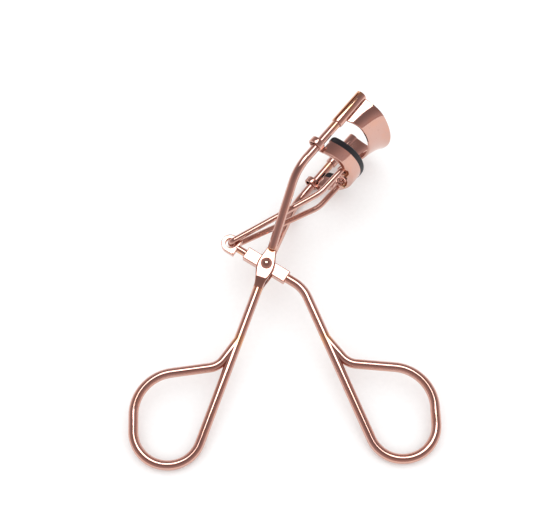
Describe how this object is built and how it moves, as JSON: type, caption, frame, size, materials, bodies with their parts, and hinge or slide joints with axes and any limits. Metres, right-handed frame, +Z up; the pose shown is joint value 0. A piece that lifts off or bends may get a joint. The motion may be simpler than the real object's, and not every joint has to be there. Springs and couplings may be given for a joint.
{
  "type": "eyelash curler",
  "caption": "Hand-held eyelash curler with wire finger loops, side rails, a fixed curved jaw and a lever-driven sliding jaw with a soft pad.",
  "frame": {"origin": "middle of the bounding box, on the surface that the tool lies on", "axes": "+Z up from the table, +Y from the finger loops towards the head, +X towards the moving handle; the tool lies on both finger loops and the rear rail, jaws open"},
  "size_m": [0.0782, 0.0974, 0.0315],
  "materials": {
    "wire_plating": "polished rose-gold plate on steel wire",
    "jaw_plating": "polished rose-gold plate on pressed steel",
    "rivet_plating": "polished rose-gold plate",
    "lever_plating": "polished rose-gold plate, flat pressed faces",
    "link_plating": "polished rose-gold plate on thin wire",
    "lug_plating": "rose-gold plate over a coppery braze",
    "pad_silicone": "smooth satin silicone"
  },
  "bodies": {
    "frame": {"left_handle": "wire_plating", "front_rail": "wire_plating", "rear_rail": "wire_plating", "upper_jaw": "jaw_plating", "pivot_rivet": "rivet_plating"},
    "lever": {"lever_head": "lever_plating", "right_handle": "wire_plating"},
    "sliding_jaw": {"lower_jaw": "jaw_plating", "front_lug": "lug_plating", "rear_lug": "lug_plating", "pad": "pad_silicone"},
    "link": {"link_wire": "link_plating"}
  },
  "joints": [
    {"name": "lever_hinge", "type": "hinge", "parent": "frame", "child": "lever", "pos_m": [-0.0035, 0.00332, 0.00995], "axis": [0, 0.1688, -0.9856], "range_deg": [-12, 27.5]},
    {"name": "jaw_slide", "type": "slide", "parent": "frame", "child": "sliding_jaw", "axis": [0.6521, 0.7473, 0.128], "range_m": [-0.0024, 0.0054]},
    {"name": "link_swing", "type": "hinge", "parent": "sliding_jaw", "child": "link", "pos_m": [0.01755, 0.02797, 0.01417], "axis": [0, -0.1688, 0.9856], "range_deg": [-0.5, 1.1]}
  ],
  "couplings": [
    {"joint": "jaw_slide", "follows": "lever_hinge", "m_per_rad": 0.0111},
    {"joint": "link_swing", "follows": "lever_hinge", "ratio": 0.01}
  ]
}
